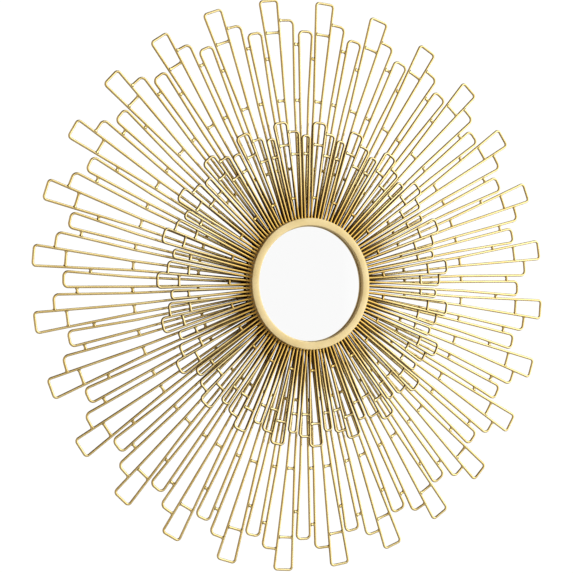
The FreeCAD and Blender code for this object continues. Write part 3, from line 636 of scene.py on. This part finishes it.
@dataclass
class RayLayer:
    """One layer of rays: the same module of five legs repeated round the ring."""

    count: int
    first: float
    depth: float
    root: float
    bend: float | None
    tops: dict[str, float]
    corners: dict[str, float]
    legs: dict[str, LegPlan]
    bars: list[BarPlan]
    node_names: list[str]
    slot: str
    seed: int
    welded_roots: bool
    wire: float = 1.8 * MM
    braze: float = 0.06 * MM
    leg_corner: float = 60 * MM
    run_step: float = 28 * MM
    sides: int = 14
    stray_side: float = 0.5 * MM        # how far hand bending lets a top stray sideways
    stray_short: float = 0.9 * MM       # and how much shorter than drawn it may be
    stray_depth: float = 0.8 * MM       # and how far it may lean off its plane
    collar: tuple[tuple[float, float], ...] = (
        (1.1 * MM, 2.75 * MM), (1.6 * MM, 2.6 * MM), (2.15 * MM, 2.25 * MM),
        (3.0 * MM, 1.96 * MM), (4.0 * MM, 1.81 * MM))
    root_collar: tuple[tuple[float, float], ...] = (
        (-0.1 * MM, 2.55 * MM), (0.6 * MM, 2.5 * MM), (1.4 * MM, 2.2 * MM),
        (2.6 * MM, 1.92 * MM), (4.0 * MM, 1.81 * MM))

    @property
    def pitch(self) -> float:
        """Degrees from one module to the next."""
        return 360.0 / self.count

    def bend_legs(self, index: int, chance: random.Random) -> dict[str, Bent]:
        """The five legs of one module, each ray with its own small stray from the drawing."""
        axis = self.first + index * self.pitch
        legs = {}
        for ray, names in (("wide", ("wide_left", "wide_right")), ("shoulder", ("shoulder",)),
                           ("narrow", ("narrow_left", "narrow_right"))):
            side = chance.uniform(-1, 1) * self.stray_side
            short = chance.uniform(0, 1) * self.stray_short
            lean = chance.uniform(-1, 1) * self.stray_depth
            top = self.tops[ray] - short
            for name in names:
                plan = self.legs[name]
                root_turn = axis + plan.slot * self.pitch / len(self.legs)
                points = [polar(self.root, root_turn, self.depth)]
                if self.bend:
                    share = (self.bend - self.root) / (top - self.root)
                    points.append(polar(self.bend, axis + plan.turns[0], self.depth + lean * share))
                sideways = math.degrees(side / top)
                points.append(polar(top, axis + plan.turns[-1] + sideways, self.depth + lean))
                legs[name] = Bent(points)
        return legs

    def draw_loop(self, draft: MeshDraft, rise: Bent, fall: Bent, corner: float) -> None:
        """A hairpin loop: up one leg, over the top and down the other."""
        points = rise.points + list(reversed(fall.points))
        bends = [self.leg_corner] if self.bend else []
        radii = bends + [corner, corner] + bends
        draft.add_tube(rounded_path(points, radii, self.run_step), self.wire, self.sides)

    def draw_shoulder(self, draft: MeshDraft, spring: Bent, fall: Bent) -> None:
        """The L-shaped wire that springs from the wide loop and comes down its own leg."""
        top = flat_radius(fall.points[-1])
        foot = spring.at(top)
        corner = fall.points[-1]
        along = (corner - foot).normalized()
        points = [foot + along * (self.wire + self.braze)] + list(reversed(fall.points))
        radii = [self.corners["shoulder"]] + ([self.leg_corner] if self.bend else [])
        draft.add_tube(rounded_path(points, radii, self.run_step), self.wire, self.sides)
        draft.add_collar(foot, along, self.collar, self.sides, stretch=1.25)

    def draw_bar(self, draft: MeshDraft, near: Bent, far: Bent, radius: float) -> None:
        """A bar between two legs with a braze collar at each end."""
        start, end = near.at(radius), far.at(radius)
        along = (end - start).normalized()
        inset = along * (self.wire + self.braze)
        draft.add_tube([start + inset, end - inset], self.wire, self.sides)
        reach = (end - start).length / 2
        collar = [(d, r) for d, r in self.collar if d < reach] + [(reach, self.collar[-1][1])]
        draft.add_collar(start, along, collar, self.sides, stretch=1.25)
        draft.add_collar(end, -along, collar, self.sides, stretch=1.25)

    def draw_module(self, draft: MeshDraft, legs: dict[str, Bent],
                    following: dict[str, Bent]) -> None:
        """All wires of one module; some bars reach into the following one."""
        self.draw_loop(draft, legs["wide_left"], legs["wide_right"], self.corners["wide"])
        self.draw_loop(draft, legs["narrow_left"], legs["narrow_right"], self.corners["narrow"])
        self.draw_shoulder(draft, legs["wide_right"], legs["shoulder"])
        for bar in self.bars:
            far = following if bar.next_module else legs
            self.draw_bar(draft, legs[bar.near], far[bar.far], bar.radius)
        if self.welded_roots:
            for leg in legs.values():
                draft.add_collar(leg.points[0], leg.points[1] - leg.points[0], self.root_collar,
                                 self.sides)

    def build(self, finish: GoldLacquer) -> None:
        """Build the layer, one piece for each frame node."""
        chance = random.Random(self.seed)
        modules = [self.bend_legs(index, chance) for index in range(self.count)]
        per_node = self.count // len(self.node_names)
        material = finish.build()
        for index, node in enumerate(self.node_names):
            draft = MeshDraft()
            for step in range(per_node):
                here = index * per_node + step
                self.draw_module(draft, modules[here], modules[(here + 1) % self.count])
            place_piece(draft.build(f"{node}_wires"), material, [node])


def outer_layer(depth: float) -> RayLayer:
    """The large sunburst, brazed to the hub plate behind the ring."""
    bend, low, top = 259 * MM, 163 * MM, 400 * MM
    return RayLayer(
        count=28, first=4.8, depth=depth, root=84.67 * MM, bend=bend,
        tops={"wide": top, "shoulder": top - 28 * MM, "narrow": top - 42.5 * MM},
        corners={"wide": 4.5 * MM, "shoulder": 7 * MM, "narrow": 6.5 * MM},
        legs={"wide_left": LegPlan(-0.5, (-1.37, -1.97)), "wide_right": LegPlan(0.5, (1.37, 1.97)),
              "shoulder": LegPlan(1.5, (4.7, 5.3)), "narrow_left": LegPlan(2.5, (6.6, 6.72)),
              "narrow_right": LegPlan(3.5, (9.5, 10.1))},
        bars=[BarPlan("wide_left", "wide_right", top - 45 * MM),
              BarPlan("wide_left", "wide_right", bend), BarPlan("wide_left", "wide_right", low),
              BarPlan("shoulder", "narrow_left", top - 62 * MM),
              BarPlan("shoulder", "narrow_left", bend), BarPlan("shoulder", "narrow_left", low),
              BarPlan("narrow_right", "wide_left", top - 81 * MM, next_module=True)],
        node_names=[f"outer_rays_{n:02d}" for n in range(1, 15)], slot="ray_gold", seed=28,
        welded_roots=False)


def inner_layer(depth: float, ring_radius: float) -> RayLayer:
    """The small sunburst, brazed to the ring's wall."""
    top = 228.4 * MM
    return RayLayer(
        count=23, first=4.5, depth=depth, root=ring_radius + 0.12 * MM, bend=None,
        tops={"wide": top, "shoulder": top - 14 * MM, "narrow": top - 19.6 * MM},
        corners={"wide": 5.5 * MM, "shoulder": 5 * MM, "narrow": 4.2 * MM},
        legs={"wide_left": LegPlan(-0.5, (-2.55,)), "wide_right": LegPlan(0.5, (2.55,)),
              "shoulder": LegPlan(1.5, (7.1,)), "narrow_left": LegPlan(2.5, (8.7,)),
              "narrow_right": LegPlan(3.5, (11.8,))},
        bars=[BarPlan("wide_left", "wide_right", top - 32 * MM),
              BarPlan("wide_left", "wide_right", ring_radius + 29.6 * MM),
              BarPlan("wide_right", "shoulder", top - 45.6 * MM),
              BarPlan("narrow_left", "narrow_right", top - 45.6 * MM)],
        node_names=[f"inner_rays_{n:02d}" for n in range(1, 24)], slot="inner_ray_gold", seed=23,
        welded_roots=True)


# ---------------------------------------------------------------------------------------
# Ring and glass
# ---------------------------------------------------------------------------------------

def arc_points(centre: tuple[float, float], radius: float, start: float, end: float,
               count: int = 6) -> list[tuple[float, float]]:
    """Points of an arc in a plane, angles in degrees from its first axis to its second."""
    points = []
    for step in range(count + 1):
        angle = math.radians(start + (end - start) * step / count)
        points.append((centre[0] + radius * math.cos(angle), centre[1] + radius * math.sin(angle)))
    return points


@dataclass
class BezelRing:
    """Channel-section ring round the glass, with softly rolled front edges."""

    wall: float = 1.2 * MM
    lip: float = 1.3 * MM           # rounding of the band's edge towards the glass
    edge: float = 0.6 * MM          # and of its outer edge
    band: float = 11 * MM
    segments: int = 240

    def build(self) -> None:
        """Turn the channel and put it in the ring's place."""
        low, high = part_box("bezel_ring")
        front, back, outer = low.y, high.y, high.z
        inner = outer - self.band
        profile = [(outer, back)]
        profile += arc_points((outer - self.edge, front + self.edge), self.edge, 0, -90)
        profile += arc_points((inner + self.lip, front + self.lip), self.lip, -90, -180)
        profile += [(inner, back), (inner + self.wall, back),
                    (inner + self.wall, front + self.wall),
                    (outer - self.wall, front + self.wall), (outer - self.wall, back)]
        draft = MeshDraft()
        draft.add_lathe(profile, self.segments)
        place_piece(draft.build("bezel_channel_ring", sharp=35), RING_GOLD.build(),
                    ["bezel_ring"])


@dataclass
class MirrorGlass:
    """Round glass with a ground and polished rim."""

    bevel: float = 0.6 * MM
    segments: int = 200

    def build(self) -> None:
        """Turn the pane and put it in the glass's place."""
        low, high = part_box("mirror_glass")
        radius, front, back = high.z, low.y, high.y
        profile = [(0.0, back), (radius - self.bevel, back), (radius, back - self.bevel),
                   (radius, front + self.bevel), (radius - self.bevel, front), (0.0, front)]
        draft = MeshDraft()
        draft.add_lathe(profile, self.segments, closed=False)
        place_piece(weld(draft.build("mirror_pane", sharp=20)), SilveredGlass().build(),
                    ["mirror_glass"])


def weld(piece: bpy.types.Object, distance: float = 0.001 * MM) -> bpy.types.Object:
    """Merge points that lie on one another, such as those on a lathe's axis."""
    solid = bmesh.new()
    solid.from_mesh(piece.data)
    bmesh.ops.remove_doubles(solid, verts=solid.verts, dist=distance)
    bmesh.ops.recalc_face_normals(solid, faces=solid.faces)
    solid.to_mesh(piece.data)
    solid.free()
    return piece


# ---------------------------------------------------------------------------------------
# Back of the mirror
# ---------------------------------------------------------------------------------------

@dataclass(frozen=True)
class PanHeadScrew:
    """Pan-head screw with a cross recess; its head is towards the wall."""

    head: float
    head_high: float
    shank: float
    segments: int = 36
    # Edge of the crown: shares of the head's radius, and of its height below the top.
    crown: tuple[tuple[float, float], ...] = ((0.5, 0.03), (0.76, 0.14), (0.93, 0.36), (1.0, 0.66))
    point: float = 1.6              # length of the point, in shank radii
    recess_reach: float = 0.56      # of the head's radius
    recess_wide: float = 0.13       # half an arm, of the head's radius
    recess_deep: float = 0.6        # of the head's height
    recess_taper: float = 0.5       # reach at the floor, of the reach at the top
    over: float = 0.1 * MM          # how far the recess's tool stands out of the head
    sharp: float = 38.0             # edges bent by more degrees are drawn sharp

    def profile(self, top: float, tip: float) -> list[tuple[float, float]]:
        """Radius and y from the middle of the crown to the point."""
        seat = top - self.head_high
        crown = [(wide * self.head, top - low * self.head_high) for wide, low in self.crown]
        return [(0.0, top), *crown, (self.head, seat), (self.shank, seat),
                (self.shank, tip + self.point * self.shank), (0.0, tip)]

    def cross(self, place: tuple[float, float], y: float, share: float) -> list[Vector]:
        """Outline of the recess at one depth, its arms drawn in to a share of their reach."""
        reach = self.head * self.recess_reach * share
        wide = self.head * self.recess_wide
        quarter = [(wide, reach), (wide, wide), (reach, wide)]
        outline = []
        for step in range(4):
            a = -math.pi / 2 * step
            outline += [Vector((place[0] + x * math.cos(a) - z * math.sin(a), y,
                                place[1] + x * math.sin(a) + z * math.cos(a)))
                        for x, z in quarter]
        return outline

    def build(self, name: str, places: Sequence[tuple[float, float]], top: float,
              tip: float) -> bpy.types.Object:
        """Turn one screw at each place and sink the recesses."""
        bodies, tools = MeshDraft(), MeshDraft()
        floor = top - self.recess_deep * self.head_high
        for place in places:
            bodies.add_lathe(self.profile(top, tip), self.segments, closed=False, axis=place)
            tools.add_rings([self.cross(place, top + self.over, 1.0),
                             self.cross(place, floor, self.recess_taper)])
        piece, tool = weld(bodies.build(name)), weld(tools.build(f"{name}_recess"))
        cut = piece.modifiers.new("recess", "BOOLEAN")
        cut.operation, cut.solver, cut.object = "DIFFERENCE", "EXACT", tool
        seen = bpy.context.evaluated_depsgraph_get()
        piece.data = bpy.data.meshes.new_from_object(piece.evaluated_get(seen))
        piece.modifiers.clear()
        bpy.data.objects.remove(tool)
        piece.data.set_sharp_from_angle(angle=math.radians(self.sharp))
        return piece


@dataclass
class BackHardware:
    """Boards, hub plate, straps, D-rings and screws."""

    ring_wire: float = 1.2 * MM
    ring_bar: float = 15 * MM
    ring_corner: float = 2.5 * MM
    ring_sides: int = 16
    bow_steps: int = 24
    board_screw: PanHeadScrew = PanHeadScrew(head=3.6 * MM, head_high=2.4 * MM, shank=2.0 * MM)
    strap_screw: PanHeadScrew = PanHeadScrew(head=2.9 * MM, head_high=1.7 * MM, shank=1.5 * MM)

    def build(self) -> None:
        """Dress the frame nodes that keep their shape and build the rest."""
        zinc = ZincPlate().build()
        board = Fibreboard().build()
        for name, material in (("rear_board", board), ("carrier_board", board),
                               ("glass_tape", FoamTape().build()), ("hub_plate", RAY_GOLD.build()),
                               ("hanger_strap_left", zinc), ("hanger_strap_right", zinc)):
            dress(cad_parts[name], material)
            log.info("%s keeps its frame shape in %s", name, material.name)
        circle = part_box("board_screws")[1].x - self.board_screw.head
        self.build_screws("board_screws", self.board_screw,
                          [(0.0, circle), (circle, 0.0), (0.0, -circle), (-circle, 0.0)], zinc)
        low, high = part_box("strap_screws")
        head = self.strap_screw.head
        self.build_screws("strap_screws", self.strap_screw,
                          [(x, z) for x in (low.x + head, high.x - head)
                           for z in (low.z + head, high.z - head)], zinc)
        for side in Side:
            self.build_d_ring(side, zinc)

    def build_screws(self, node: str, screw: PanHeadScrew, places: Sequence[tuple[float, float]],
                     zinc: bpy.types.Material) -> None:
        """The screws of one frame node."""
        low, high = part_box(node)
        piece = screw.build(f"{node}_pan_heads", places, high.y, low.y)
        place_piece(piece, zinc, [node])

    def build_d_ring(self, side: Side, zinc: bpy.types.Material) -> None:
        """Closed wire ring: straight bar, two corners and the bow."""
        node = f"d_ring_{side.value}"
        low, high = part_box(node)
        middle = (low + high) / 2
        bar_z = high.z - self.ring_wire
        half = self.ring_bar / 2
        bow = half + self.ring_corner
        corner = self.ring_corner
        path = arc_points((half, -corner), corner, 90, 0)
        path += arc_points((0.0, -corner), bow, 0, -180, self.bow_steps)[1:-1]
        path += arc_points((-half, -corner), corner, 180, 90)
        points = [Vector((middle.x + x, middle.y, bar_z + z)) for x, z in path]
        draft = MeshDraft()
        draft.add_tube(points, self.ring_wire, self.ring_sides, closed=True)
        place_piece(draft.build(f"{node}_wire"), zinc, [node], body=node)


# ---------------------------------------------------------------------------------------
# Studio
# ---------------------------------------------------------------------------------------

def towards(azimuth: float, elevation: float) -> Vector:
    """Direction from the mirror, degrees to the right of straight ahead and degrees up."""
    a, e = math.radians(azimuth), math.radians(elevation)
    return Vector((math.sin(a) * math.cos(e), -math.cos(a) * math.cos(e), math.sin(e)))


@dataclass(frozen=True)
class Softbox:
    """A rectangular studio light that looks at the mirror."""

    name: str
    azimuth: float
    elevation: float
    distance: float
    width: float
    height: float
    brightness: float           # of its face; a white card in full light would be 1
    colour: str = "FFFFFF"

    def build(self) -> None:
        """Make the light."""
        direction = towards(self.azimuth, self.elevation)
        data = bpy.data.lights.new(self.name, "AREA")
        data.shape = "RECTANGLE"
        data.size, data.size_y = self.width, self.height
        data.energy = self.brightness * math.pi * self.width * self.height
        data.color = hex_to_linear(self.colour)[:3]
        lamp = bpy.data.objects.new(self.name, data)
        lamp.location = direction * self.distance
        lamp.rotation_euler = (-direction).to_track_quat("-Z", "Y").to_euler()
        bpy.context.scene.collection.objects.link(lamp)


@dataclass(frozen=True)
class WallTone:
    """How bright the studio's wall is in one direction from the mirror."""

    azimuth: float              # degrees to the right of straight ahead
    brightness: float           # a white card in full light would be 1
    tint: str = "FFFFFB"


@dataclass
class Studio:
    """Camera, soft light, white surround and a pale floor."""

    azimuth: float = -26.4
    elevation: float = -1.5
    distance: float = 2.564
    lens: float = 115.0
    aim: tuple[float, float, float] = (-0.0278, -0.013, -0.0037)
    floor_z: float = -0.8
    floor_radius: float = 1.9
    floor_sides: int = 96
    sensor: float = 36.0
    surround: float = 1.05          # of the white that the camera sees behind the mirror
    fade_starts: float = 0.6        # sine of the elevation where the walls start to fade
    fade_ends: float = 0.95
    ceiling: float = 0.35           # what is left of them there
    # A wide diffuser on the right fades into a dim warm wall ahead and a paler one on the left.
    walls: tuple[WallTone, ...] = (
        WallTone(-180.0, 0.6, "FFF2E0"), WallTone(-140.0, 0.95, "FFF4E6"),
        WallTone(-95.0, 0.95, "FFF4E6"), WallTone(-65.0, 0.75, "FFF0DC"),
        WallTone(-45.0, 0.48, "FFEDD6"), WallTone(-10.0, 0.4, "FFEBD2"),
        WallTone(8.0, 0.5, "FFEEDA"), WallTone(15.0, 0.68, "FFEBD8"),
        WallTone(20.0, 0.85, "FFF1E4"), WallTone(23.0, 0.96, "FFFAF4"),
        WallTone(25.2, 1.01, "FFFFFF"), WallTone(29.0, 1.01, "FFFFFF"), WallTone(34.0, 1.9),
        WallTone(45.0, 2.6), WallTone(78.0, 2.2), WallTone(90.0, 0.8),
        WallTone(105.0, 0.2, "FFE8CC"), WallTone(150.0, 0.2, "FFE8CC"),
        WallTone(180.0, 0.6, "FFF2E0"),
    )
    softboxes: tuple[Softbox, ...] = (
        Softbox("top_softbox", 30.0, 60.0, 3.0, 1.3, 0.8, 1.2),
        Softbox("back_softbox", 170.0, 40.0, 3.2, 1.4, 1.0, 1.6),
    )

    def build(self) -> None:
        """Make everything round the mirror."""
        self.build_camera()
        for softbox in self.softboxes:
            softbox.build()
        self.build_floor()
        self.build_surround()

    def build_camera(self) -> None:
        """Long lens, left of the mirror and level with its lower half."""
        back = towards(self.azimuth, self.elevation)
        data = bpy.data.cameras.new("camera")
        data.lens = self.lens
        data.sensor_width = self.sensor
        camera = bpy.data.objects.new("camera", data)
        camera.location = Vector(self.aim) + back * self.distance
        camera.rotation_euler = (-back).to_track_quat("-Z", "Y").to_euler()
        bpy.context.scene.collection.objects.link(camera)
        bpy.context.scene.camera = camera

    def build_floor(self) -> None:
        """Round pale floor well below the mirror."""
        draft = MeshDraft()
        draft.points = [Vector((self.floor_radius * math.cos(a), self.floor_radius * math.sin(a),
                                self.floor_z)) for a in turns(self.floor_sides)]
        draft.faces = [tuple(range(self.floor_sides))]
        floor = draft.build("studio_floor")
        dress(floor, PaleFloor().build())

    def build_surround(self) -> None:
        """White behind the mirror, and the studio's walls to reflect."""
        world = bpy.data.worlds.new("studio")
        world.use_nodes = True
        tree = world.node_tree
        tree.nodes.clear()
        sky = add_node(tree, "ShaderNodeTexCoord").outputs["Generated"]
        way = add_node(tree, "ShaderNodeSeparateXYZ", {"Vector": sky}).outputs
        ahead = add_node(tree, "ShaderNodeMath", {0: way["Y"], 1: -1.0}, operation="MULTIPLY")
        azimuth = add_node(tree, "ShaderNodeMath", {0: way["X"], 1: ahead.outputs["Value"]},
                           operation="ARCTAN2")
        share = add_node(tree, "ShaderNodeMapRange", {
            "Value": azimuth.outputs["Value"], "From Min": -math.pi, "From Max": math.pi})
        brightest = max(tone.brightness for tone in self.walls)
        stops = []
        for tone in self.walls:
            red, green, blue, _ = hex_to_linear(tone.tint)
            level = tone.brightness / brightest
            stops.append(((tone.azimuth + 180) / 360,
                          (red * level, green * level, blue * level, 1.0)))
        walls = set_ramp(add_node(tree, "ShaderNodeValToRGB", {"Fac": share.outputs["Result"]}),
                         stops)
        steep = add_node(tree, "ShaderNodeMath", {0: way["Z"]}, operation="ABSOLUTE")
        fade = add_node(tree, "ShaderNodeMapRange", {
            "Value": steep.outputs["Value"], "From Min": self.fade_starts,
            "From Max": self.fade_ends, "To Min": brightest, "To Max": self.ceiling},
            interpolation_type="SMOOTHSTEP")
        room = add_node(tree, "ShaderNodeBackground", {
            "Color": walls.outputs["Color"], "Strength": fade.outputs["Result"]})
        white = add_node(tree, "ShaderNodeBackground", {
            "Color": (1.0, 1.0, 1.0, 1.0), "Strength": self.surround})
        seen = add_node(tree, "ShaderNodeLightPath").outputs["Is Camera Ray"]
        both = add_node(tree, "ShaderNodeMixShader", {
            0: seen, 1: room.outputs["Background"], 2: white.outputs["Background"]})
        add_node(tree, "ShaderNodeOutputWorld", {"Surface": both.outputs["Shader"]})
        bpy.context.scene.world = world
        bpy.context.scene.view_settings.view_transform = "Standard"


def main() -> None:
    """Build the studio and the mirror, front pieces first."""
    logging.basicConfig(level=logging.INFO, format="%(name)s: %(message)s")
    Studio().build()
    BezelRing().build()
    MirrorGlass().build()
    outer_low, outer_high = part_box("outer_rays_01")
    inner_low, inner_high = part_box("inner_rays_01")
    ring_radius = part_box("bezel_ring")[1].z
    outer_layer(-(outer_low.y + outer_high.y) / 2).build(RAY_GOLD)
    inner_layer(-(inner_low.y + inner_high.y) / 2, ring_radius).build(INNER_RAY_GOLD)
    BackHardware().build()


if __name__ == "__main__":
    main()
